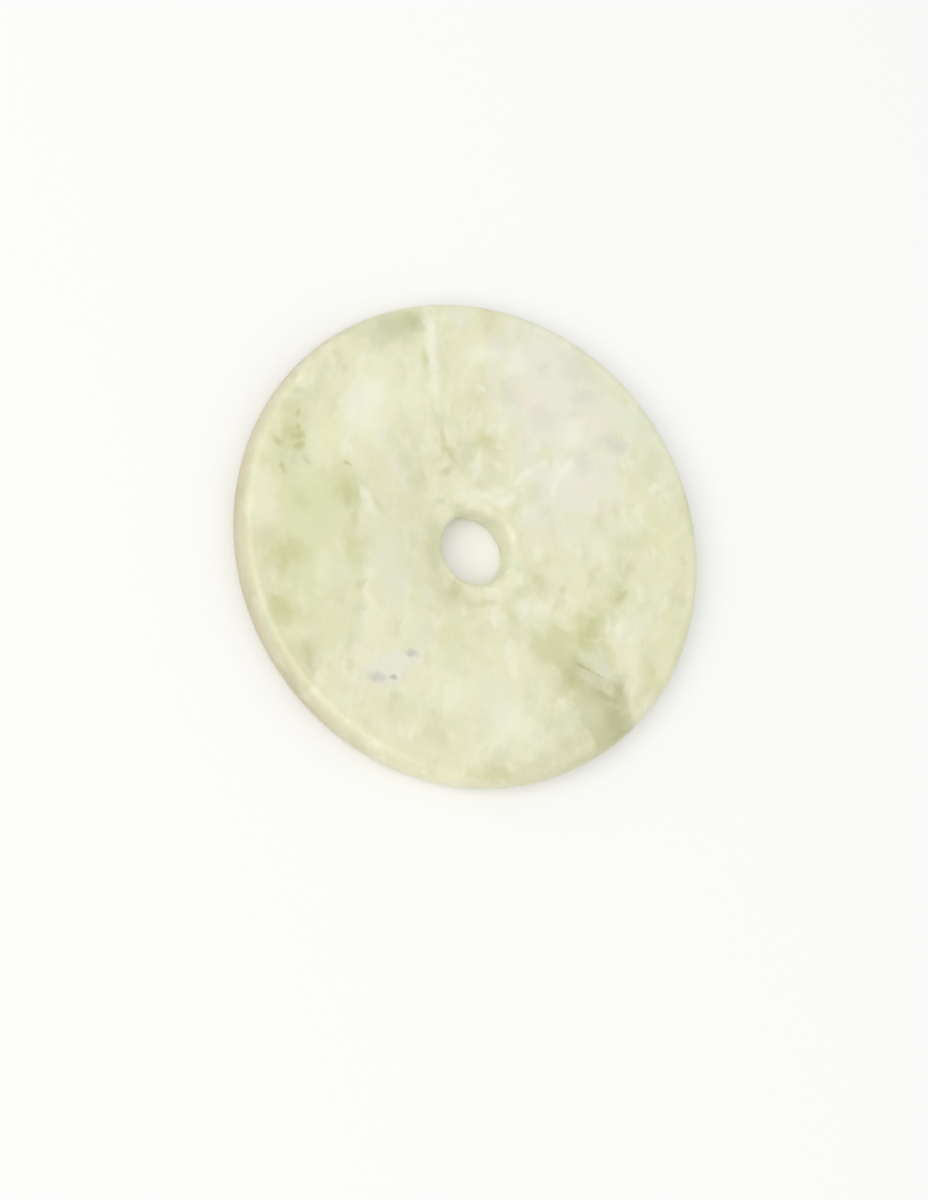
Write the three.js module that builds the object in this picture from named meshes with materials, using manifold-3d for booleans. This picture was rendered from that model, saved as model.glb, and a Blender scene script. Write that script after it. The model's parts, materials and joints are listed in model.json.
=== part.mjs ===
// A jade donut: a flat, polished disc of pale serpentine jade with a small round hole for a cord.
// It is one stone, so it is one solid. It lies on its back face, with its front face up.
// Millimetres, +Z up. The origin is on the resting plane, under the middle of the disc.

import * as THREE from "three";
import { mergeVertices } from "three/addons/utils/BufferGeometryUtils.js";
import Module from "manifold-3d";

// Driving dimensions of the disc.
const DIAMETER = 50;
const THICKNESS = 3.8;
const EDGE_ROUND = 1; // radius of the softened edge between a face and the rim wall
const WALL_SWELL = THREE.MathUtils.degToRad(30); // half of the angle through which the rim wall bows

// Driving dimensions of the hole, which was drilled a little off the middle.
const HOLE_DIAMETER = 7.4;
const LIP_ROUND = 0.9; // radius of the rounded lip at each mouth
const HOLE_X = 0.1;
const HOLE_Y = -0.8;
const DRILL_OVERRUN = 2; // how far the drill's flare runs on past each face

// Facets.
const RIM_FACETS = 128;
const HOLE_FACETS = 64;
const ARC_DIVISIONS = 3; // three.js draws two chords for each division of an arc

const wasm = await Module();
wasm.setup();

// A closed three.js geometry as a manifold-3d solid.
function toSolid(geometry) {
  const bare = geometry.clone();
  bare.deleteAttribute("normal");
  bare.deleteAttribute("uv");
  const merged = mergeVertices(bare);
  const vertProperties = merged.getAttribute("position").array;
  const triVerts = new Uint32Array(merged.index.array);
  return new wasm.Manifold(new wasm.Mesh({ numProp: 3, vertProperties, triVerts }));
}

// A manifold-3d solid as a three.js geometry.
function toGeometry(solid) {
  const { vertProperties, triVerts } = solid.getMesh();
  const geometry = new THREE.BufferGeometry();
  geometry.setAttribute("position", new THREE.BufferAttribute(vertProperties, 3));
  geometry.setIndex(new THREE.BufferAttribute(triVerts, 1));
  geometry.computeVertexNormals();
  return geometry;
}

// A profile of radius and height, turned about +Z.
function turned(profile, facets) {
  const points = profile.getPoints(ARC_DIVISIONS);
  return new THREE.LatheGeometry(points, facets).rotateX(Math.PI / 2);
}

// The disc before it is drilled: two flat faces, two softened edges and a rim wall that bows out.
// The wall is one wide arc, and each edge is a small arc that meets the wall and the face smoothly.
function discBlank() {
  const radius = DIAMETER / 2;
  const middle = THICKNESS / 2;
  const edgeRise = middle - EDGE_ROUND;
  const wallRound = EDGE_ROUND + edgeRise / Math.sin(WALL_SWELL);
  const wallCentre = radius - wallRound;
  const edgeCentre = wallCentre + (wallRound - EDGE_ROUND) * Math.cos(WALL_SWELL);

  const profile = new THREE.Path();
  profile.moveTo(0, 0);
  profile.lineTo(edgeCentre, 0);
  profile.absarc(edgeCentre, EDGE_ROUND, EDGE_ROUND, -Math.PI / 2, -WALL_SWELL);
  profile.absarc(wallCentre, middle, wallRound, -WALL_SWELL, WALL_SWELL);
  profile.absarc(edgeCentre, THICKNESS - EDGE_ROUND, EDGE_ROUND, WALL_SWELL, Math.PI / 2);
  profile.lineTo(0, THICKNESS);
  return turned(profile, RIM_FACETS);
}

// The drill that leaves the hole: a straight bore that flares at both mouths into the rounded lips.
function holeDrill() {
  const bore = HOLE_DIAMETER / 2;
  const mouth = bore + LIP_ROUND;

  const profile = new THREE.Path();
  profile.moveTo(0, -DRILL_OVERRUN);
  profile.lineTo(mouth, -DRILL_OVERRUN);
  profile.lineTo(mouth, 0);
  profile.absarc(mouth, LIP_ROUND, LIP_ROUND, -Math.PI / 2, -Math.PI, true);
  profile.absarc(mouth, THICKNESS - LIP_ROUND, LIP_ROUND, Math.PI, Math.PI / 2, true);
  profile.lineTo(mouth, THICKNESS + DRILL_OVERRUN);
  profile.lineTo(0, THICKNESS + DRILL_OVERRUN);
  return turned(profile, HOLE_FACETS).translate(HOLE_X, HOLE_Y, 0);
}

const stone = new THREE.MeshStandardMaterial({ color: "#e2e4c9", roughness: 0.38, metalness: 0 });

const disc = new THREE.Mesh(toGeometry(toSolid(discBlank()).subtract(toSolid(holeDrill()))), stone);
disc.name = "jade_disc";

const jadeDonut = new THREE.Group();
jadeDonut.name = "jade_donut";
jadeDonut.add(disc);

export default jadeDonut;
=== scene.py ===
"""Looks of a jade donut: a flat, polished disc of pale serpentine jade with a small round cord hole.

The stone is one smooth surface, worked out from the disc's box and from the hole's place in the frame.
Its clouds, veins and flecks are a solid pattern in the stone, so they run on over the rim, down the wall
of the hole and, fainter, through to the back.
"""

import json
import logging
import math
from collections.abc import Sequence
from dataclasses import dataclass
from enum import Enum

import bpy
import numpy as np
from mathutils import Matrix, Vector


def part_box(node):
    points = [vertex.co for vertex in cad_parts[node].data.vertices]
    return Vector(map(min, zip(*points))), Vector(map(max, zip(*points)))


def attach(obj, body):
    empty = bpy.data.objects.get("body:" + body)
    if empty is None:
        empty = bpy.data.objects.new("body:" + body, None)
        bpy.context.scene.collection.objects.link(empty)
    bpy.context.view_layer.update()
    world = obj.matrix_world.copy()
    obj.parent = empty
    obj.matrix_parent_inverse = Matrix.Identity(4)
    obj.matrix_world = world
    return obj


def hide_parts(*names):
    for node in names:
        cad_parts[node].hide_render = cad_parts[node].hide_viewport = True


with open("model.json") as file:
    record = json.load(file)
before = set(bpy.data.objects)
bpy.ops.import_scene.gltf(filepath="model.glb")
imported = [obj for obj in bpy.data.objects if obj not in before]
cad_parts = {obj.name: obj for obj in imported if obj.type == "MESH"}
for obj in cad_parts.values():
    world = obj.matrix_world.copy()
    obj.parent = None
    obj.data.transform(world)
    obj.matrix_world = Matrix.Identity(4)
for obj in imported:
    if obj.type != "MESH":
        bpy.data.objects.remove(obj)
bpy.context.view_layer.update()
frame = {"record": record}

LOG = logging.getLogger("jade_donut")
MM = 0.001  # one millimetre in Blender's metres
STONE_NODE = "jade_disc"
BODY = "root"

# Sockets that share a name with another, by number.
NOISE_HEIGHT = 0
NOISE_COLOUR = 1
MIX_FACTOR = 0
MIX_FROM = 6
MIX_TO = 7
MIX_COLOUR = 2

# How many octaves each noise has, and how strong each octave is beside the one before it.
WANDER_OCTAVES = 2
MOTTLE_OCTAVES = 4
MOTTLE_ROUGHNESS = 0.55
FRAY_OCTAVES = 3
FRAY_ROUGHNESS = 0.5
GRAIN_OCTAVES = 4
GRAIN_ROUGHNESS = 0.65

MOTTLE_APART = 100  # how far apart in the noise the mottles are taken, in millimetres, so that no two agree
MARK_EDGE = 0.5  # a mark's value at its edge, where it is 1 at its middle and 0 at twice its size


def linear(hex_colour: str) -> tuple[float, float, float, float]:
    """Turns an sRGB hex colour into linear light.

    Args:
        hex_colour: the colour as "#rrggbb".

    Returns:
        Linear red, green and blue, and an alpha of one.
    """
    channels = np.array([int(hex_colour[i : i + 2], 16) for i in (1, 3, 5)]) / 255
    light = np.where(channels <= 0.04045, channels / 12.92, ((channels + 0.055) / 1.055) ** 2.4)
    return (*light.tolist(), 1.0)


def add_node(
    tree: bpy.types.NodeTree,
    kind: str,
    settings: dict[str, object] | None = None,
    inputs: dict[str | int, object] | None = None,
) -> bpy.types.Node:
    """Adds one node to a tree, with its settings and its inputs.

    Args:
        tree: the material's or the world's node tree.
        kind: Blender's name for the kind of node.
        settings: values for the node's own properties.
        inputs: for each input, by name or number, a value to set or another node's output to link.

    Returns:
        The new node.
    """
    node = tree.nodes.new(kind)
    for name, value in (settings or {}).items():
        setattr(node, name, value)
    for socket, value in (inputs or {}).items():
        if isinstance(value, bpy.types.NodeSocket):
            tree.links.new(value, node.inputs[socket])
        else:
            node.inputs[socket].default_value = value
    return node


class Tint(Enum):
    """The colours in the stone, in sRGB, which some blots also lay as painted shade and painted light."""

    CELADON = "#e5e4c2"
    CREAM = "#ebebce"
    IVORY = "#f3f5e2"
    MILK = "#e4e7d0"
    LILAC = "#e9e8d9"
    ROSE = "#ede6d5"
    ASH = "#d8d8c9"
    HAZE = "#d9d9b8"
    SPRING = "#dddfb5"
    MOSS = "#c9cb94"
    OLIVE = "#b6b475"
    SAGE = "#cdd5b3"
    BRUISE = "#c5c59a"
    DEEP = "#a9ab80"
    PEACH = "#ebe2c6"
    SHADE = "#d2cda6"
    OCHRE = "#cec191"
    INK = "#8a8c8f"
    LEMON = "#eaebbd"


@dataclass(frozen=True)
class Blot:
    """A soft-edged body of another colour in the stone, or of painted shade or painted light: an ellipsoid
    that lies level in it.

    Attributes:
        tint: its colour.
        x: its middle, to the right of the disc's middle, in millimetres.
        y: its middle, above the disc's middle.
        long: half of its length.
        wide: half of its width.
        turn: the direction of its length, in degrees from +X.
        strength: how much of its colour shows at its middle, from 0 to 1.
        core: the share of it that has the full strength, from 0, all soft, to nearly 1, crisp.
    """

    tint: Tint
    x: float
    y: float
    long: float
    wide: float
    turn: float = 0.0
    strength: float = 0.5
    core: float = 0.1


@dataclass(frozen=True)
class Layer:
    """Marks of one kind, which go equally deep and have equally ragged edges.

    Attributes:
        reach: how far down from the front face they go, in millimetres.
        fray_size: the width of the noise that frays their edges, in millimetres.
        fray: how far the noise moves an edge, as a share of the mark's size.
        blots: the marks, in the order in which they are laid.
    """

    reach: float
    fray_size: float
    fray: float
    blots: tuple[Blot, ...]


# Broad clouds.
CLOUDS = Layer(
    reach=6.0,
    fray_size=2.6,
    fray=1.2,
    blots=(
        # The green band down the left side is partly the stone's own green and partly painted shade.
        Blot(Tint.SPRING, -18.5, 1.0, 17.0, 7.5, 95, 0.8, 0.2),
        Blot(Tint.SPRING, -16.5, 5.0, 10.0, 5.0, 95, 0.5),
        # Painted shade along the left rim.
        Blot(Tint.SHADE, -23.5, -3.0, 18.0, 3.5, 90, 0.3),
        Blot(Tint.HAZE, -7.5, -0.5, 13.0, 6.0, 95, 0.4, 0.2),
        Blot(Tint.MILK, -9.5, -3.5, 7.0, 2.8, 100, 0.5),
        Blot(Tint.MILK, -7.0, -9.5, 4.0, 2.0, 95, 0.4),
        Blot(Tint.HAZE, -9.0, 22.0, 7.5, 3.6, 10, 0.7, 0.2),
        Blot(Tint.CREAM, -10.6, 13.0, 9.0, 5.4, 50, 0.8, 0.2),
        Blot(Tint.IVORY, -11.8, 13.6, 4.4, 3.0, 60, 0.7),
        Blot(Tint.LILAC, 9.8, 14.5, 13.0, 8.0, 108, 0.85, 0.3),
        Blot(Tint.LILAC, 8.0, 20.0, 6.0, 3.6, 160, 0.5),
        Blot(Tint.LILAC, 2.9, 18.6, 3.6, 1.7, 95, 0.55),
        Blot(Tint.CREAM, 0.0, 18.5, 4.5, 2.8, 80, 0.55),
        Blot(Tint.LILAC, 3.6, 20.6, 3.2, 1.7, 100, 0.7),
        Blot(Tint.LILAC, 10.8, 6.2, 7.8, 4.2, 5, 0.9, 0.3),
        Blot(Tint.MILK, 19.5, 11.5, 8.5, 4.6, 115, 0.6, 0.2),
        Blot(Tint.MILK, 10.5, 1.5, 8.0, 3.2, 0, 0.6),
        Blot(Tint.ROSE, 8.2, 0.8, 4.4, 2.4, 10, 0.3),
        Blot(Tint.CREAM, 10.5, -3.0, 5.0, 2.0, 10, 0.5),
        Blot(Tint.CREAM, -2.0, -15.5, 10.0, 5.0, 0, 0.6),
        Blot(Tint.IVORY, 2.5, -19.0, 4.6, 3.6, 0, 0.4),
        Blot(Tint.SPRING, 15.0, -5.5, 9.0, 4.5, 15, 0.3),
        Blot(Tint.SPRING, 20.0, -12.0, 8.0, 4.0, 60, 0.2),
        Blot(Tint.MOSS, 8.0, -11.0, 4.4, 3.0, -38, 0.55, 0.4),
        Blot(Tint.BRUISE, 9.2, -12.5, 3.6, 2.3, -40, 0.35),
        Blot(Tint.MOSS, 11.4, -9.3, 3.2, 2.4, 60, 0.35, 0.2),
        Blot(Tint.BRUISE, 11.6, -14.6, 4.4, 3.4, -50, 0.6, 0.3),
        Blot(Tint.BRUISE, 12.9, -18.2, 5.0, 3.5, -70, 0.8, 0.4),
        Blot(Tint.BRUISE, 12.2, -21.4, 3.2, 1.8, 30, 0.6),
        Blot(Tint.DEEP, 14.4, -17.8, 4.0, 2.2, -80, 0.45, 0.2),
        Blot(Tint.DEEP, 15.2, -16.2, 3.8, 1.4, -75, 0.35, 0.2),
        Blot(Tint.OLIVE, 9.2, -14.2, 2.0, 1.5, 10, 0.35),
        Blot(Tint.SAGE, 9.4, -18.6, 3.0, 1.8, 80, 0.35),
        Blot(Tint.HAZE, 7.4, -14.2, 2.2, 1.5, -50, 0.5),
    ),
)

# Patches and smaller clouds.
PATCHES = Layer(
    reach=4.5,
    fray_size=1.5,
    fray=1.2,
    blots=(
        Blot(Tint.SAGE, -8.5, 21.6, 4.6, 2.4, 15, 0.55),
        Blot(Tint.BRUISE, -7.8, 21.9, 4.0, 2.0, 15, 0.3),
        Blot(Tint.MOSS, -6.4, 21.8, 2.4, 1.6, 100, 0.3),
        Blot(Tint.DEEP, -5.7, 21.9, 2.0, 1.2, 100, 0.25),
        Blot(Tint.MILK, -0.7, 23.4, 2.8, 1.8, 0, 0.7),
        Blot(Tint.MOSS, 1.4, 10.1, 2.6, 1.9, 0, 0.5),
        Blot(Tint.SHADE, 2.6, 8.6, 1.8, 1.3, 0, 0.4),
        Blot(Tint.BRUISE, -1.2, 8.4, 3.0, 1.8, 60, 0.25),
        Blot(Tint.ROSE, -12.0, 13.9, 2.2, 1.4, 95, 0.5),
        Blot(Tint.HAZE, -7.0, 11.0, 3.4, 2.0, 100, 0.6),
        Blot(Tint.CREAM, -6.1, 12.6, 3.0, 1.5, 92, 0.45),
        Blot(Tint.CREAM, -4.2, 14.0, 2.8, 1.3, 90, 0.55),
        Blot(Tint.CREAM, -1.2, 5.8, 2.4, 1.6, 0, 0.6),
        Blot(Tint.CREAM, -0.4, 4.2, 2.8, 1.4, 10, 0.75, 0.2),
        Blot(Tint.IVORY, -1.2, 4.7, 2.2, 1.1, 0, 0.4),
        Blot(Tint.LILAC, -8.9, 7.4, 2.6, 1.2, 98, 0.5),
        Blot(Tint.SAGE, -7.0, 8.0, 2.2, 1.5, 60, 0.35),
        Blot(Tint.LILAC, -10.0, 10.5, 1.8, 1.1, 80, 0.5),
        Blot(Tint.LEMON, -15.2, 9.6, 3.2, 1.9, 80, 0.5),
        Blot(Tint.CREAM, -16.6, 8.0, 2.8, 1.6, 80, 0.75),
        Blot(Tint.CREAM, -22.5, 2.8, 4.2, 2.4, 80, 0.9, 0.2),
        Blot(Tint.PEACH, -22.3, 2.8, 4.2, 2.2, 80, 0.35),
        Blot(Tint.MOSS, -19.6, 10.3, 4.2, 2.2, 85, 0.5),
        Blot(Tint.MOSS, -18.4, 8.9, 1.8, 1.4, 90, 0.4),
        Blot(Tint.SAGE, -18.7, 7.2, 2.4, 1.6, 0, 0.3),
        Blot(Tint.CREAM, -15.6, 7.1, 1.8, 1.3, 80, 0.5),
        Blot(Tint.MOSS, -14.0, 4.5, 3.0, 2.0, 100, 0.65, 0.1),
        Blot(Tint.MOSS, -18.6, 2.8, 2.6, 1.3, -60, 0.3),
        Blot(Tint.SHADE, -22.5, -0.9, 2.2, 1.6, 90, 0.4),
        Blot(Tint.MOSS, -20.6, -2.6, 3.6, 2.8, 0, 0.6, 0.1),
        Blot(Tint.MOSS, -21.1, -8.1, 2.8, 2.4, 90, 0.65, 0.1),
        Blot(Tint.SPRING, -17.8, -7.7, 2.2, 1.6, 20, 0.5),
        # These two darken the lower left of the face: painted shadow, with some of the stone's own moss
        # green.
        Blot(Tint.MOSS, -18.7, -9.0, 2.2, 1.6, 20, 0.3),
        Blot(Tint.SHADE, -19.5, -13.0, 4.0, 2.6, -60, 0.4),
        Blot(Tint.MOSS, -13.4, -1.7, 3.0, 1.8, 90, 0.4),
        Blot(Tint.CREAM, -16.5, -3.5, 3.0, 1.5, 90, 0.5),
        Blot(Tint.CREAM, -11.0, -9.0, 3.4, 2.2, 60, 0.7),
        Blot(Tint.CREAM, -12.5, -12.5, 2.6, 1.8, 0, 0.6),
        Blot(Tint.CREAM, -8.0, -7.0, 2.6, 1.6, 90, 0.5),
        Blot(Tint.MILK, -9.0, -5.5, 3.6, 2.4, 100, 0.4),
        Blot(Tint.MILK, -14.6, -4.4, 2.8, 1.3, 95, 0.5),
        Blot(Tint.MILK, -5.3, -6.6, 2.2, 1.2, 95, 0.4),
        Blot(Tint.SHADE, -9.5, -14.0, 3.6, 2.4, 20, 0.35),
        Blot(Tint.LILAC, -9.9, -13.6, 4.2, 2.4, 30, 0.8, 0.2),
        Blot(Tint.LILAC, -7.6, -12.6, 2.0, 1.3, 30, 0.4),
        Blot(Tint.ROSE, -13.0, -12.0, 2.2, 1.4, 0, 0.4),
        Blot(Tint.BRUISE, -4.6, -1.5, 5.4, 1.8, 98, 0.55),
        Blot(Tint.CREAM, -7.2, 4.2, 1.8, 1.2, 95, 0.35),
        Blot(Tint.BRUISE, -6.8, -0.5, 1.8, 1.2, 90, 0.3),
        Blot(Tint.BRUISE, -2.8, -6.2, 3.2, 2.0, -30, 0.5),
        Blot(Tint.SPRING, -3.6, -9.8, 3.4, 2.0, 70, 0.5),
        Blot(Tint.CREAM, -5.0, -13.5, 3.0, 2.0, 30, 0.5),
        Blot(Tint.SPRING, -4.0, -12.0, 2.6, 1.8, 60, 0.45),
        Blot(Tint.MILK, 1.0, -16.5, 2.8, 3.6, 0, 0.5),
        Blot(Tint.MOSS, 1.0, -23.9, 3.2, 1.5, 0, 0.5),
        Blot(Tint.SHADE, 4.4, -23.8, 7.0, 1.9, 10, 0.6),
        Blot(Tint.BRUISE, 9.5, -22.6, 4.0, 1.5, 24, 0.5),
        Blot(Tint.ROSE, 6.6, 15.0, 5.5, 1.7, 92, 0.6),
        Blot(Tint.ROSE, 12.0, 6.3, 2.6, 2.0, 60, 0.5),
        Blot(Tint.ROSE, 13.4, 13.0, 2.8, 1.0, 5, 0.5),
        Blot(Tint.ASH, 4.3, 15.4, 2.4, 1.5, 75, 0.4),
        Blot(Tint.ASH, 7.6, 13.2, 2.6, 1.8, 60, 0.35),
        Blot(Tint.ASH, 8.2, 18.3, 1.8, 1.2, 60, 0.4),
        Blot(Tint.ASH, 12.6, 15.4, 2.2, 1.4, 5, 0.55),
        Blot(Tint.ASH, 11.6, 13.8, 1.8, 1.3, 0, 0.4),
        Blot(Tint.ASH, 15.6, 11.0, 3.0, 1.9, -15, 0.75),
        Blot(Tint.ASH, 12.2, 8.8, 2.2, 1.4, 80, 0.4),
        Blot(Tint.ASH, 12.0, 18.5, 4.4, 3.0, -35, 0.45),
        Blot(Tint.LILAC, 5.6, 8.8, 2.8, 1.8, 75, 0.65),
        Blot(Tint.LILAC, 2.4, 15.6, 2.8, 1.3, 95, 0.45),
        Blot(Tint.LILAC, 6.2, 2.5, 2.4, 1.5, 30, 0.6),
        Blot(Tint.HAZE, 6.3, 5.0, 2.4, 1.3, 40, 0.4),
        Blot(Tint.HAZE, 19.8, 8.8, 2.8, 1.6, 80, 0.5),
        Blot(Tint.IVORY, 11.0, 11.5, 3.4, 1.8, 60, 0.45),
        Blot(Tint.IVORY, 9.5, 7.5, 3.2, 1.6, 50, 0.45),
        Blot(Tint.IVORY, 5.0, 18.5, 2.6, 1.6, 30, 0.3),
        Blot(Tint.IVORY, 1.5, 19.5, 2.6, 1.6, 0, 0.4),
        Blot(Tint.CREAM, 15.7, 5.8, 3.6, 2.0, 10, 0.5),
        Blot(Tint.MILK, 17.4, 13.6, 4.2, 2.2, 125, 0.5),
        Blot(Tint.MILK, 6.2, 23.6, 4.5, 1.3, -15, 0.5),
        Blot(Tint.MILK, 15.7, 18.8, 5.0, 1.3, -40, 0.5),
        Blot(Tint.MILK, 22.2, 10.3, 5.0, 1.3, -65, 0.5),
        Blot(Tint.MOSS, 23.3, 4.2, 1.8, 1.1, 70, 0.4),
        Blot(Tint.LEMON, 21.2, 0.4, 2.8, 2.0, 80, 0.55),
        Blot(Tint.SPRING, 17.6, 0.7, 4.2, 1.8, 10, 0.7),
        Blot(Tint.SPRING, 20.6, 3.2, 4.0, 2.4, 0, 0.4),
        Blot(Tint.SPRING, 21.5, -8.0, 5.0, 2.8, 70, 0.35),
        Blot(Tint.MOSS, 6.5, -4.0, 2.4, 1.4, 50, 0.3),
        Blot(Tint.MOSS, 4.4, -5.4, 2.2, 1.2, 30, 0.5),
        Blot(Tint.MOSS, 3.4, -7.9, 1.8, 1.0, -50, 0.35),
        Blot(Tint.IVORY, 1.4, -5.3, 1.8, 0.8, 0, 0.45),
        # Painted light on the wall and lips of the hole.
        Blot(Tint.IVORY, 0.1, -0.8, 4.9, 4.9, 0, 0.45, 0.45),
        # Painted shade on the lip at the right and the upper right of the hole.
        Blot(Tint.HAZE, 4.4, -0.4, 2.0, 0.8, 85, 0.5),
        Blot(Tint.HAZE, 2.5, 2.7, 2.3, 0.9, 138, 0.65),
        Blot(Tint.IVORY, 6.0, -7.0, 3.0, 1.4, 10, 0.35),
        Blot(Tint.CREAM, 5.7, -8.5, 2.6, 1.6, -20, 0.65),
        Blot(Tint.CREAM, 8.2, -3.2, 2.8, 1.6, 10, 0.6),
        Blot(Tint.MOSS, 15.2, -5.1, 2.8, 1.6, 25, 0.5, 0.1),
        Blot(Tint.MOSS, 11.9, -8.5, 3.0, 2.2, 60, 0.6),
        Blot(Tint.MOSS, 14.0, -11.4, 3.0, 0.8, -76, 0.4),
        Blot(Tint.MOSS, 11.7, -10.5, 2.8, 1.2, -5, 0.65),
        Blot(Tint.PEACH, 22.0, -3.7, 2.2, 1.4, 0, 0.4),
        Blot(Tint.MILK, 17.4, -7.8, 2.6, 1.8, 30, 0.4),
        Blot(Tint.IVORY, 15.2, -8.6, 2.4, 1.0, 80, 0.4, 0.2),
        Blot(Tint.CREAM, 16.6, -12.4, 3.4, 1.8, 100, 0.7, 0.2),
        Blot(Tint.MOSS, 18.6, -13.5, 3.6, 1.6, 110, 0.35),
        Blot(Tint.HAZE, 8.0, -21.8, 4.8, 2.6, 20, 0.8),
        Blot(Tint.HAZE, 9.8, -19.2, 2.4, 1.7, 60, 0.6),
        Blot(Tint.SHADE, 9.3, -20.4, 2.6, 1.5, 20, 0.4),
        Blot(Tint.SHADE, 17.6, -14.8, 2.2, 1.3, -60, 0.45),
        Blot(Tint.DEEP, 13.0, -15.5, 2.0, 0.6, -22, 0.4),
        Blot(Tint.OLIVE, 15.0, -15.2, 1.7, 0.8, -70, 0.4),
        Blot(Tint.OCHRE, 11.8, -9.2, 1.6, 1.0, 40, 0.4),
        Blot(Tint.SAGE, 12.2, -12.2, 2.4, 1.5, -25, 0.4, 0.3),
        Blot(Tint.ASH, 13.6, -12.8, 1.5, 1.0, -65, 0.5),
        Blot(Tint.ASH, 11.6, -14.0, 2.0, 0.9, -20, 0.45),
        Blot(Tint.HAZE, 11.5, -17.3, 2.2, 1.5, 85, 0.6),
        Blot(Tint.HAZE, 12.2, -11.3, 1.8, 1.2, 10, 0.45),
    ),
)

# Veins and hairlines.
VEINS = Layer(
    reach=2.4,
    fray_size=0.8,
    fray=0.8,
    blots=(
        Blot(Tint.IVORY, -4.0, 21.4, 3.4, 1.2, 95, 0.8),
        Blot(Tint.IVORY, -4.0, 18.2, 2.8, 0.9, 92, 0.65),
        Blot(Tint.IVORY, -4.0, 15.8, 1.6, 1.0, 90, 0.4),
        Blot(Tint.MOSS, -4.9, 18.5, 1.8, 0.6, 90, 0.55),
        Blot(Tint.OLIVE, -3.9, 12.8, 2.4, 0.6, -68, 0.16),
        Blot(Tint.OLIVE, -3.2, 10.4, 1.6, 0.6, -80, 0.22),
        Blot(Tint.OLIVE, -2.6, 8.7, 1.8, 1.0, -60, 0.4),
        Blot(Tint.IVORY, 5.2, 6.7, 2.2, 0.6, 40, 0.6),
        Blot(Tint.IVORY, 3.2, 4.2, 1.4, 0.8, 40, 0.6),
        Blot(Tint.IVORY, 10.3, 8.1, 2.0, 0.6, 45, 0.6),
        Blot(Tint.IVORY, 8.7, 5.4, 2.0, 0.6, 80, 0.4),
        Blot(Tint.IVORY, 7.4, 8.3, 1.6, 0.5, 20, 0.4),
        Blot(Tint.IVORY, -11.5, 3.2, 2.8, 0.9, -65, 0.5),
        Blot(Tint.OLIVE, -12.0, 4.9, 1.6, 0.6, -45, 0.22),
        Blot(Tint.OLIVE, -10.6, 3.1, 1.6, 0.6, -52, 0.18),
        Blot(Tint.OLIVE, 12.6, -3.0, 2.6, 0.6, 58, 0.2),
        Blot(Tint.OLIVE, 8.2, -6.3, 1.8, 0.5, 65, 0.18),
        Blot(Tint.OLIVE, 0.6, -6.5, 2.2, 0.6, 0, 0.28),
        Blot(Tint.DEEP, 10.7, -12.8, 1.3, 0.3, -18, 0.5),
        Blot(Tint.DEEP, 11.8, -13.1, 1.2, 0.26, -16, 0.4),
        Blot(Tint.DEEP, 12.9, -13.4, 1.3, 0.3, -28, 0.5),
    ),
)

# Flecks and specks.
FLECKS = Layer(
    reach=0.9,
    fray_size=0.5,
    fray=0.8,
    blots=(
        Blot(Tint.OLIVE, -18.6, 9.5, 0.9, 0.6, 0, 0.5),
        Blot(Tint.OLIVE, -18.6, 8.5, 0.95, 0.5, 10, 0.55),
        Blot(Tint.MOSS, -19.3, 10.0, 1.2, 1.1, 0, 0.5),
        Blot(Tint.OLIVE, -18.6, 10.4, 0.7, 0.5, 90, 0.45),
        Blot(Tint.OLIVE, -18.5, 11.9, 0.7, 0.4, 85, 0.4),
        Blot(Tint.OLIVE, -20.7, 8.9, 0.95, 0.6, -20, 0.5),
        Blot(Tint.OLIVE, -17.9, 7.3, 0.9, 0.45, -60, 0.35),
        Blot(Tint.OLIVE, -20.4, 6.3, 1.3, 0.55, -65, 0.5),
        Blot(Tint.OLIVE, -13.5, 6.9, 0.5, 0.4, 0, 0.5),
        Blot(Tint.OLIVE, -13.7, 3.4, 1.4, 0.8, 80, 0.25),
        Blot(Tint.MOSS, -13.0, 1.5, 1.5, 0.9, 95, 0.4),
        Blot(Tint.OLIVE, -12.7, -5.2, 1.0, 0.8, 80, 0.28),
        Blot(Tint.OLIVE, -18.7, -12.5, 1.6, 0.8, 90, 0.28),
        Blot(Tint.OLIVE, -18.5, -13.7, 1.0, 0.6, -70, 0.2),
        Blot(Tint.OLIVE, -5.9, 6.2, 1.6, 1.0, 80, 0.25),
        Blot(Tint.DEEP, -3.0, 7.0, 1.2, 0.8, 40, 0.28),
        Blot(Tint.DEEP, -3.9, 3.7, 0.9, 0.7, 0, 0.2),
        Blot(Tint.DEEP, -18.6, 14.3, 1.1, 0.6, -30, 0.22),
        Blot(Tint.DEEP, -13.5, 17.1, 1.1, 0.6, 60, 0.22),
        Blot(Tint.OLIVE, -2.7, -5.3, 1.4, 1.0, 70, 0.28),
        Blot(Tint.OLIVE, 6.6, -3.7, 1.2, 0.8, 40, 0.2),
        Blot(Tint.OLIVE, 9.1, -4.7, 0.8, 0.6, 60, 0.22),
        Blot(Tint.OLIVE, 15.7, -5.3, 1.3, 0.8, 20, 0.25),
        Blot(Tint.OLIVE, 22.8, -1.2, 1.5, 0.7, 90, 0.2),
        Blot(Tint.IVORY, 2.4, 5.2, 1.0, 0.7, 30, 0.6),
        Blot(Tint.IVORY, 1.0, 4.5, 0.8, 0.7, 0, 0.5),
        Blot(Tint.IVORY, 1.2, 15.9, 0.8, 0.7, 0, 0.5),
        Blot(Tint.IVORY, 19.9, 6.5, 1.3, 0.7, 15, 0.5),
        Blot(Tint.INK, -9.6, -14.4, 0.7, 0.45, 0, 0.5),
        Blot(Tint.INK, -11.4, -14.6, 1.5, 0.8, 15, 0.3),
        Blot(Tint.INK, -7.7, -11.9, 1.1, 0.6, -10, 0.35),
    ),
)


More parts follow.
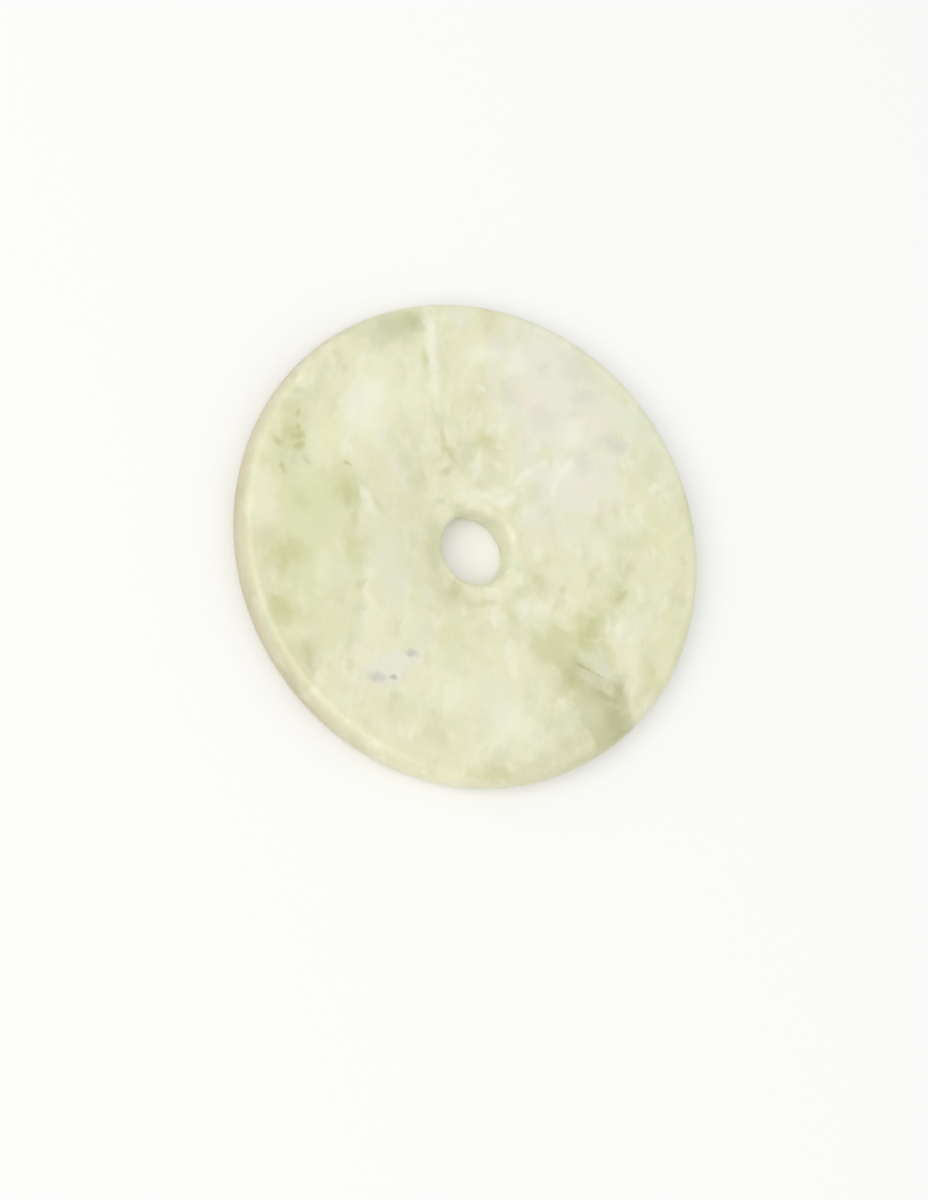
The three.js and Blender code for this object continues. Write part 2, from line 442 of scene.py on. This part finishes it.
@dataclass(frozen=True)
class Mottle:
    """A noise of another colour that goes all through the stone's ground.

    Attributes:
        tint: its colour.
        size: the width of its clouds, in millimetres.
        low: the noise at which the colour starts to show.
        high: the noise at which it shows in full.
        strength: how much of it shows in full, from 0 to 1.
        stretch: how many times longer than wide its clouds are.
        turn: the direction of their length, in degrees from +X.
    """

    tint: Tint
    size: float
    low: float
    high: float
    strength: float
    stretch: float = 1.0
    turn: float = 0.0


GROUND = (
    Mottle(Tint.CREAM, 6.0, 0.42, 0.66, 0.5),
    Mottle(Tint.SHADE, 3.0, 0.48, 0.70, 0.45, 1.6, 80),
    Mottle(Tint.SAGE, 2.8, 0.46, 0.74, 0.5, 1.5, 70),
    Mottle(Tint.IVORY, 2.0, 0.48, 0.70, 0.55, 1.8, 80),
    Mottle(Tint.PEACH, 2.4, 0.50, 0.72, 0.4, 1.4, 60),
    Mottle(Tint.HAZE, 1.0, 0.48, 0.74, 0.15, 3.5, 86),
)


@dataclass(frozen=True)
class SerpentineJade:
    """Serpentine jade, sawn, lapped flat and buffed.

    It is a close, greasy stone: light goes a little way in, so its clouds look soft and its edges glow,
    and the buffing leaves a waxy satin that shows broad, dim highlights and no mirror.

    Attributes:
        front: the height of the front face, in millimetres.
        radius: of the disc.
        ior: the stone's index of refraction.
        roughness: the mean roughness of the buffed surface.
        roughness_spread: how far the roughness wanders from its mean.
        glow: how much of the light goes into the stone.
        glow_depth: how far it goes in, in millimetres.
        glow_reach: how far red, green and blue go in, as shares of that depth.
        grain_size: the width of the fine grain, in millimetres.
        grain: the strength of the fine grain in the colour.
        wander: how far the clouds' noise pushes the marks out of true, in millimetres.
        wander_size: the width of that noise.
        fret: how far a finer noise pushes them.
        fret_size: the width of that noise.
        rim_shade: the warm filter that lays painted shade, with a painted warm reflection, on the left rim
            wall, in sRGB.
        rim_shade_in: how far in from the rim the painted shade starts and where it is full, in millimetres.
        rim_shade_left: how far to the left of the disc's middle it starts and where it is full.
        rim_shade_low: how far below the front face it is at its least and at its most.
        rim_shade_strength: its least and its most strength, from 0 to 1.
    """

    front: float
    radius: float
    ior: float = 1.56
    roughness: float = 0.4
    roughness_spread: float = 0.05
    glow: float = 0.5
    glow_depth: float = 1.0
    glow_reach: tuple[float, float, float] = (1.0, 1.0, 0.75)
    grain_size: float = 0.5
    grain: float = 0.12
    wander: float = 1.4
    wander_size: float = 2.4
    fret: float = 0.3
    fret_size: float = 0.7
    # Painted shade, with a painted warm reflection, on the left rim wall.
    rim_shade: str = "#dfd6d3"
    rim_shade_in: tuple[float, float] = (1.0, 0.25)
    rim_shade_left: tuple[float, float] = (6.0, 18.0)
    rim_shade_low: tuple[float, float] = (0.4, 2.2)
    rim_shade_strength: tuple[float, float] = (0.45, 1.0)

    def material(self, layers: Sequence[Layer]) -> bpy.types.Material:
        """Makes the stone's material.

        Args:
            layers: the marks in the stone, in the order in which they are laid.

        Returns:
            The material.
        """
        material = bpy.data.materials.new("serpentine_jade_lapped_and_buffed")
        material.use_nodes = True
        tree = material.node_tree
        tree.nodes.clear()
        place = self._place(tree)
        colour = self._ground(tree, place)
        mark = self._mark()
        for layer in layers:
            colour = self._lay(tree, place, colour, mark, layer)
        # Paints shade on the left rim wall.
        colour = self._paint_rim_shade(tree, colour)
        colour, roughness = self._grain(tree, colour)
        shader = add_node(
            tree, "ShaderNodeBsdfPrincipled", None,
            {
                "Base Color": colour,
                "Roughness": roughness,
                "IOR": self.ior,
                "Subsurface Weight": self.glow,
                "Subsurface Radius": self.glow_reach,
                "Subsurface Scale": self.glow_depth * MM,
            },
        )
        add_node(tree, "ShaderNodeOutputMaterial", None, {"Surface": shader.outputs["BSDF"]})
        return material

    def _place(self, tree: bpy.types.NodeTree) -> bpy.types.NodeSocket:
        """Gives the place in the stone in millimetres, pushed out of true by two sizes of noise.

        Args:
            tree: the material's node tree.

        Returns:
            The output that holds the place.
        """
        coordinates = add_node(tree, "ShaderNodeTexCoord").outputs["Object"]
        shift = -0.5 * (self.wander + self.fret)
        place = add_node(
            tree, "ShaderNodeMapping", None,
            {"Vector": coordinates, "Scale": (1 / MM,) * 3, "Location": (shift, shift, 0)},
        ).outputs["Vector"]
        for reach, size in ((self.wander, self.wander_size), (self.fret, self.fret_size)):
            noise = add_node(
                tree, "ShaderNodeTexNoise", None,
                {"Vector": place, "Scale": 1 / size, "Detail": WANDER_OCTAVES},
            ).outputs[NOISE_COLOUR]
            place = add_node(
                tree, "ShaderNodeVectorMath", {"operation": "MULTIPLY_ADD"},
                {0: noise, 1: (reach, reach, 0), 2: place},
            ).outputs["Vector"]
        return place

    def _ground(self, tree: bpy.types.NodeTree, place: bpy.types.NodeSocket) -> bpy.types.NodeSocket:
        """Mixes the stone's ground: celadon, with the mottles laid over it one after another.

        Args:
            tree: the material's node tree.
            place: the place in the stone.

        Returns:
            The output that holds the colour.
        """
        colour: bpy.types.NodeSocket | tuple[float, ...] = linear(Tint.CELADON.value)
        for number, mottle in enumerate(GROUND):
            local = add_node(
                tree, "ShaderNodeMapping", {"vector_type": "TEXTURE"},
                {
                    "Vector": place,
                    "Location": (0, 0, MOTTLE_APART * number),
                    "Rotation": (0, 0, math.radians(mottle.turn)),
                    "Scale": (mottle.size * mottle.stretch, mottle.size, mottle.size),
                },
            ).outputs["Vector"]
            noise = add_node(
                tree, "ShaderNodeTexNoise", None,
                {"Vector": local, "Scale": 1, "Detail": MOTTLE_OCTAVES, "Roughness": MOTTLE_ROUGHNESS},
            ).outputs[NOISE_HEIGHT]
            share = add_node(
                tree, "ShaderNodeMapRange", {"interpolation_type": "SMOOTHSTEP"},
                {
                    "Value": noise,
                    "From Min": mottle.low,
                    "From Max": mottle.high,
                    "To Max": mottle.strength,
                },
            ).outputs["Result"]
            colour = add_node(
                tree, "ShaderNodeMix", {"data_type": "RGBA"},
                {MIX_FACTOR: share, MIX_FROM: colour, MIX_TO: linear(mottle.tint.value)},
            ).outputs[MIX_COLOUR]
        return colour

    def _mark(self) -> bpy.types.NodeTree:
        """Makes the node group that lays one mark over the colour so far.

        A mark is 1 at its middle, a half at its edge and 0 at twice its size. The fray is added to that, so
        that the edge is ragged, and the tint shows where the sum is over a half.

        Returns:
            The node group.
        """
        tree = bpy.data.node_groups.new("mark_in_the_stone", "ShaderNodeTree")
        sockets = {
            "Colour": "NodeSocketColor",
            "Place": "NodeSocketVector",
            "Fray": "NodeSocketFloat",
            "Middle": "NodeSocketVector",
            "Turn": "NodeSocketVector",
            "Size": "NodeSocketVector",
            "Core": "NodeSocketFloat",
            "Strength": "NodeSocketFloat",
            "Tint": "NodeSocketColor",
        }
        for name, kind in sockets.items():
            tree.interface.new_socket(name, in_out="INPUT", socket_type=kind)
        tree.interface.new_socket("Colour", in_out="OUTPUT", socket_type="NodeSocketColor")
        given = add_node(tree, "NodeGroupInput").outputs
        local = add_node(
            tree, "ShaderNodeMapping", {"vector_type": "TEXTURE"},
            {
                "Vector": given["Place"],
                "Location": given["Middle"],
                "Rotation": given["Turn"],
                "Scale": given["Size"],
            },
        ).outputs["Vector"]
        whole = add_node(
            tree, "ShaderNodeTexGradient", {"gradient_type": "SPHERICAL"}, {"Vector": local}
        ).outputs["Fac"]
        ragged = add_node(tree, "ShaderNodeMath", {"operation": "ADD"}, {0: whole, 1: given["Fray"]})
        share = add_node(
            tree, "ShaderNodeMapRange", {"interpolation_type": "SMOOTHSTEP"},
            {
                "Value": ragged.outputs["Value"],
                "From Min": MARK_EDGE,
                "From Max": given["Core"],
                "To Max": given["Strength"],
            },
        ).outputs["Result"]
        mixed = add_node(
            tree, "ShaderNodeMix", {"data_type": "RGBA"},
            {MIX_FACTOR: share, MIX_FROM: given["Colour"], MIX_TO: given["Tint"]},
        ).outputs[MIX_COLOUR]
        add_node(tree, "NodeGroupOutput", None, {"Colour": mixed})
        return tree

    def _lay(
        self,
        tree: bpy.types.NodeTree,
        place: bpy.types.NodeSocket,
        colour: bpy.types.NodeSocket,
        mark: bpy.types.NodeTree,
        layer: Layer,
    ) -> bpy.types.NodeSocket:
        """Lays the marks of one layer over the colour so far.

        The fray is a half less the noise, times the layer's own fray. That is halved, because a mark falls
        by only a half from its middle to its edge.

        Args:
            tree: the material's node tree.
            place: the place in the stone.
            colour: the colour so far.
            mark: the node group that lays one mark.
            layer: the marks to lay.

        Returns:
            The output that holds the new colour.
        """
        noise = add_node(
            tree, "ShaderNodeTexNoise", None,
            {
                "Vector": place,
                "Scale": 1 / layer.fray_size,
                "Detail": FRAY_OCTAVES,
                "Roughness": FRAY_ROUGHNESS,
            },
        ).outputs[NOISE_HEIGHT]
        fray = add_node(
            tree, "ShaderNodeMath", {"operation": "MULTIPLY_ADD"},
            {0: noise, 1: -layer.fray / 2, 2: layer.fray / 4},
        ).outputs["Value"]
        for blot in layer.blots:
            colour = add_node(
                tree, "ShaderNodeGroup", {"node_tree": mark},
                {
                    "Colour": colour,
                    "Place": place,
                    "Fray": fray,
                    "Middle": (blot.x, blot.y, self.front),
                    "Turn": (0, 0, math.radians(blot.turn)),
                    "Size": (2 * blot.long, 2 * blot.wide, 2 * layer.reach),
                    "Core": 1 - blot.core / 2,
                    "Strength": blot.strength,
                    "Tint": linear(blot.tint.value),
                },
            ).outputs["Colour"]
        return colour

    def _paint_rim_shade(self, tree: bpy.types.NodeTree, colour: bpy.types.NodeSocket) -> bpy.types.NodeSocket:
        """Paints shade on the rim wall on the left, the more the lower on the wall, with a warm painted
        reflection in it.

        The painted shade's share is the product of three ramps: outwards from the disc's axis, to the left
        and down.
        It is a filter, so the clouds and the mottle show through it.

        Args:
            tree: the material's node tree.
            colour: the colour so far.

        Returns:
            The output that holds the new colour.
        """
        coordinates = add_node(tree, "ShaderNodeTexCoord").outputs["Object"]
        level = add_node(
            tree, "ShaderNodeVectorMath", {"operation": "MULTIPLY"},
            {0: coordinates, 1: (1 / MM, 1 / MM, 0)},
        ).outputs["Vector"]
        out = add_node(tree, "ShaderNodeVectorMath", {"operation": "LENGTH"}, {0: level}).outputs["Value"]
        axes = add_node(tree, "ShaderNodeSeparateXYZ", None, {"Vector": coordinates}).outputs
        down = add_node(
            tree, "ShaderNodeMapRange", None,
            {
                "Value": axes["Z"],
                "From Min": (self.front - self.rim_shade_low[0]) * MM,
                "From Max": (self.front - self.rim_shade_low[1]) * MM,
                "To Min": self.rim_shade_strength[0],
                "To Max": self.rim_shade_strength[1],
            },
        ).outputs["Result"]
        on_wall = add_node(
            tree, "ShaderNodeMapRange", {"interpolation_type": "SMOOTHSTEP"},
            {
                "Value": out,
                "From Min": self.radius - self.rim_shade_in[0],
                "From Max": self.radius - self.rim_shade_in[1],
                "To Max": down,
            },
        ).outputs["Result"]
        share = add_node(
            tree, "ShaderNodeMapRange", {"interpolation_type": "SMOOTHSTEP"},
            {
                "Value": axes["X"],
                "From Min": -self.rim_shade_left[0] * MM,
                "From Max": -self.rim_shade_left[1] * MM,
                "To Max": on_wall,
            },
        ).outputs["Result"]
        return add_node(
            tree, "ShaderNodeMix", {"data_type": "RGBA", "blend_type": "MULTIPLY"},
            {MIX_FACTOR: share, MIX_FROM: colour, MIX_TO: linear(self.rim_shade)},
        ).outputs[MIX_COLOUR]

    def _grain(
        self, tree: bpy.types.NodeTree, colour: bpy.types.NodeSocket
    ) -> tuple[bpy.types.NodeSocket, bpy.types.NodeSocket]:
        """Adds the fine grain to the colour and the roughness. The buffed surface has no relief to show.

        Args:
            tree: the material's node tree.
            colour: the colour so far.

        Returns:
            The outputs that hold the colour and the roughness.
        """
        coordinates = add_node(tree, "ShaderNodeTexCoord").outputs["Object"]
        noise = add_node(
            tree, "ShaderNodeTexNoise", None,
            {
                "Vector": coordinates,
                "Scale": 1 / (self.grain_size * MM),
                "Detail": GRAIN_OCTAVES,
                "Roughness": GRAIN_ROUGHNESS,
            },
        ).outputs[NOISE_HEIGHT]
        grained = add_node(
            tree, "ShaderNodeMix", {"data_type": "RGBA", "blend_type": "SOFT_LIGHT"},
            {MIX_FACTOR: self.grain, MIX_FROM: colour, MIX_TO: noise},
        ).outputs[MIX_COLOUR]
        roughness = add_node(
            tree, "ShaderNodeMapRange", None,
            {
                "Value": noise,
                "To Min": self.roughness - self.roughness_spread,
                "To Max": self.roughness + self.roughness_spread,
            },
        ).outputs["Result"]
        return grained, roughness


@dataclass
class JadeDonut:
    """The stone: a disc with softened edges, a rim wall that bows out and a hole with rounded lips.

    Attributes:
        radius: of the disc, in millimetres.
        thickness: of the disc.
        hole_x: the hole's middle, to the right of the disc's middle.
        hole_y: the hole's middle, above the disc's middle.
        hole_radius: of the straight bore.
        lip_round: radius of the rounded lip at each mouth.
        edge_round: radius of the softened edge between a face and the rim wall.
        wall_swell: half of the angle through which the rim wall bows, in radians.
        spokes: how many points go round each ring.
        bore_steps: how many stations the section has down the bore.
        round_steps: how many it has round each lip and each edge.
        wall_steps: how many it has down the rim wall.
        front_steps: how many it has across the front face.
        back_steps: how many it has across the back face, which is plainer.
    """

    radius: float
    thickness: float
    hole_x: float
    hole_y: float
    hole_radius: float = 3.7
    lip_round: float = 0.9
    edge_round: float = 1.0
    wall_swell: float = math.radians(30)
    spokes: int = 576
    bore_steps: int = 8
    round_steps: int = 8
    wall_steps: int = 10
    front_steps: int = 84
    back_steps: int = 34

    @classmethod
    def from_frame(cls) -> "JadeDonut":
        """Reads the disc's size from its box, and the hole's place from the opening in the record.

        Returns:
            The stone, before its mesh is made.
        """
        low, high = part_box(STONE_NODE)
        opening = np.array(frame["record"]["physics"]["openings"][0]["box_m"])
        hole_x, hole_y, _ = opening.mean(axis=0) / MM
        return cls((high.x - low.x) / 2 / MM, (high.z - low.z) / MM, hole_x, hole_y)

    def section(self) -> tuple[np.ndarray, np.ndarray, np.ndarray]:
        """Works out the section that is carried round the disc.

        It goes up the bore, over the front lip, out along the front face, over the front edge, down the
        bowed rim wall, under the back edge, in along the back face and round the back lip to the bore again.
        Each round is an arc: its middle plus its radius times the cosine and the sine of the angle.

        Returns:
            The radius and the height at each station, in millimetres, and the share of the hole's offset
            that the ring there takes, which is one at the hole and none at the rim.
        """
        top = self.thickness
        bore = self.hole_radius
        lip = bore + self.lip_round
        swell = self.wall_swell
        quarter_turn = math.pi / 2
        rise = top / 2 - self.edge_round
        wall_round = self.edge_round + rise / math.sin(swell)
        wall_middle = self.radius - wall_round
        edge_middle = wall_middle + (wall_round - self.edge_round) * math.cos(swell)

        def arc(
            middle: tuple[float, float], size: float, start: float, end: float, steps: int = self.round_steps
        ) -> np.ndarray:
            """Gives the points of an arc, without the last one.

            Args:
                middle: of the arc, as radius and height.
                size: the arc's own radius.
                start: the angle at which it starts, in radians.
                end: the angle at which it ends.
                steps: how many points it has.

            Returns:
                The points, as a row of radii and a row of heights.
            """
            angle = np.linspace(start, end, steps, endpoint=False)
            return np.stack([middle[0] + size * np.cos(angle), middle[1] + size * np.sin(angle)])

        def straight(start: tuple[float, float], end: tuple[float, float], steps: int) -> np.ndarray:
            """Gives the points of a straight line, without the last one.

            Args:
                start: the point where it starts, as radius and height.
                end: the point where it ends.
                steps: how many points it has.

            Returns:
                The points, as a row of radii and a row of heights.
            """
            return np.linspace(start, end, steps, endpoint=False).T

        parts = (
            straight((bore, self.lip_round), (bore, top - self.lip_round), self.bore_steps),
            arc((lip, top - self.lip_round), self.lip_round, math.pi, quarter_turn),
            straight((lip, top), (edge_middle, top), self.front_steps),
            arc((edge_middle, top - self.edge_round), self.edge_round, quarter_turn, swell),
            arc((wall_middle, top / 2), wall_round, swell, -swell, self.wall_steps),
            arc((edge_middle, self.edge_round), self.edge_round, -swell, -quarter_turn),
            straight((edge_middle, 0), (lip, 0), self.back_steps),
            arc((lip, self.lip_round), self.lip_round, 3 * quarter_turn, math.pi),
        )
        radius, height = np.concatenate(parts, axis=1)
        share = np.clip((edge_middle - radius) / (edge_middle - lip), 0, 1)
        return radius, height, share

    def surface(self) -> np.ndarray:
        """Works out the surface on a grid of the section's stations and the angle round the disc.

        A point is the ring's own middle, which slides from the hole's middle to the disc's middle as the
        ring grows, plus its radius times the cosine and the sine of the angle, at the station's height.

        Returns:
            The points in millimetres, as stations by spokes by three.
        """
        radius, height, share = (values[:, None] for values in self.section())
        angle = np.linspace(0, 2 * math.pi, self.spokes, endpoint=False)[None, :]
        x = share * self.hole_x + radius * np.cos(angle)
        y = share * self.hole_y + radius * np.sin(angle)
        return np.stack([x, y, np.broadcast_to(height, x.shape)], axis=-1)

    def build(self) -> bpy.types.Object:
        """Makes the stone's mesh, which closes on itself both round the disc and round the section.

        Returns:
            The stone.
        """
        points = self.surface()
        stations, spokes = points.shape[:2]
        number = np.arange(stations * spokes).reshape(stations, spokes)
        after = np.roll(number, -1, axis=0)
        corners = (number, np.roll(number, -1, axis=1), np.roll(after, -1, axis=1), after)
        faces = np.stack(corners, axis=-1).reshape(-1, 4)
        mesh = bpy.data.meshes.new("jade_stone")
        mesh.from_pydata(points.reshape(-1, 3) * MM, [], faces)
        mesh.update()
        mesh.shade_smooth()
        stone = bpy.data.objects.new("jade_stone", mesh)
        bpy.context.scene.collection.objects.link(stone)
        return stone

    def dress(self, stone: bpy.types.Object) -> None:
        """Gives the stone its material and says what it stands for.

        Args:
            stone: the stone.
        """
        jade = SerpentineJade(front=self.thickness, radius=self.radius)
        stone.data.materials.append(jade.material((CLOUDS, PATCHES, VEINS, FLECKS)))
        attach(stone, BODY)
        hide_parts(STONE_NODE)


@dataclass(frozen=True)
class Softbox:
    """A square, evenly lit panel that is aimed at the disc.

    Attributes:
        name: of the light.
        heading: the side that it stands on, in degrees from +X.
        elevation: its height above the horizon, in degrees.
        distance: from the disc, in metres.
        size: of its side, in metres.
        share: of a white floor's full brightness that it gives.
    """

    name: str
    heading: float
    elevation: float
    distance: float
    size: float
    share: float

    def build(self) -> bpy.types.Object:
        """Makes the light.

        Its power is its share times pi squared, times its distance squared, over the sine of its elevation.

        Returns:
            The light.
        """
        light = bpy.data.lights.new(self.name, "AREA")
        light.shape = "SQUARE"
        light.size = self.size
        heading = math.radians(self.heading)
        elevation = math.radians(self.elevation)
        light.energy = self.share * math.pi**2 * self.distance**2 / math.sin(elevation)
        panel = bpy.data.objects.new(self.name, light)
        level = math.cos(elevation)
        away = Vector((math.cos(heading) * level, math.sin(heading) * level, math.sin(elevation)))
        panel.location = away * self.distance
        panel.rotation_euler = away.to_track_quat("Z", "Y").to_euler()
        bpy.context.scene.collection.objects.link(panel)
        return panel


@dataclass(frozen=True)
class Studio:
    """A plain pale floor in soft light.

    Attributes:
        floor_size: the floor's side, in metres.
        floor_gap: how far the floor is below the stone, in millimetres, so that they don't share a plane.
        floor_colour: the floor's colour.
        floor_roughness: of the floor's matt paper.
        surround: the brightness of the pale room all round.
        surround_colour: the room's colour.
        softboxes: the lights.
    """

    floor_size: float = 4.0
    floor_gap: float = 0.02
    floor_colour: str = "#fafaf9"
    floor_roughness: float = 0.9
    surround: float = 0.72
    surround_colour: str = "#ffffff"
    softboxes: tuple[Softbox, ...] = (
        Softbox("left_softbox", 197, 53, 1.4, 1.2, 0.365),
    )

    def build(self) -> None:
        """Makes the floor, the lights and the room's own light."""
        half = self.floor_size / 2
        across = np.linspace(-half, half, 2)
        x, y = np.meshgrid(across, across)
        points = np.stack([x, y, np.full_like(x, -self.floor_gap * MM)], axis=-1).reshape(-1, 3)
        mesh = bpy.data.meshes.new("floor")
        mesh.from_pydata(points, [], [(0, 1, 3, 2)])
        floor = bpy.data.objects.new("floor", mesh)
        bpy.context.scene.collection.objects.link(floor)
        mesh.materials.append(self._paper())
        for softbox in self.softboxes:
            softbox.build()
        world = bpy.data.worlds.new("pale_room")
        world.use_nodes = True
        background = world.node_tree.nodes["Background"]
        background.inputs["Strength"].default_value = self.surround
        background.inputs["Color"].default_value = linear(self.surround_colour)
        bpy.context.scene.world = world
        bpy.context.scene.view_settings.view_transform = "Standard"

    def _paper(self) -> bpy.types.Material:
        """Makes the floor's matt white paper.

        Returns:
            The material.
        """
        material = bpy.data.materials.new("matt_white_paper")
        material.use_nodes = True
        shader = material.node_tree.nodes["Principled BSDF"]
        shader.inputs["Base Color"].default_value = linear(self.floor_colour)
        shader.inputs["Roughness"].default_value = self.floor_roughness
        return material


@dataclass(frozen=True)
class PhotoCamera:
    """The camera, which looks down on the lying disc at the photograph's viewing angle.

    Attributes:
        lean: how far its line of sight leans from straight down, in radians.
        heading: the side that it leans to, in radians from +X.
        distance: from the disc's middle, in millimetres.
        pixels_per_mm: the picture's scale at the disc's middle.
        middle: the pixel that shows the disc's middle.
        picture: the picture's width and height, in pixels.
        sensor: the sensor's long side, in millimetres.
    """

    lean: float = math.radians(26.52)
    heading: float = math.radians(211.0)
    distance: float = 400.0
    pixels_per_mm: float = 9.939
    middle: tuple[float, float] = (469.9, 543.8)
    picture: tuple[int, int] = (928, 1200)
    sensor: float = 36.0

    def build(self, height: float) -> bpy.types.Object:
        """Makes the camera.

        Args:
            height: of the disc's middle above the floor, in millimetres.

        Returns:
            The camera.
        """
        data = bpy.data.cameras.new("photo_camera")
        data.sensor_width = self.sensor
        data.lens = self.pixels_per_mm * self.distance / max(self.picture) * self.sensor
        axis = Vector((-math.sin(self.heading), math.cos(self.heading), 0))
        turn = Matrix.Rotation(self.lean, 4, axis)
        aside = (self.picture[0] / 2 - self.middle[0]) / self.pixels_per_mm
        above = (self.middle[1] - self.picture[1] / 2) / self.pixels_per_mm
        back = turn @ Vector((aside, above, self.distance))
        camera = bpy.data.objects.new("photo_camera", data)
        camera.matrix_world = Matrix.Translation((Vector((0, 0, height)) + back) * MM) @ turn
        bpy.context.scene.collection.objects.link(camera)
        bpy.context.scene.camera = camera
        return camera


def main() -> None:
    """Builds the camera, the studio and the stone."""
    logging.basicConfig(level=logging.INFO, format="%(name)s: %(message)s")
    donut = JadeDonut.from_frame()
    PhotoCamera().build(donut.thickness / 2)
    Studio().build()
    stone = donut.build()
    donut.dress(stone)
    LOG.info("%s: %d faces", stone.name, len(stone.data.polygons))


if __name__ == "__main__":
    main()
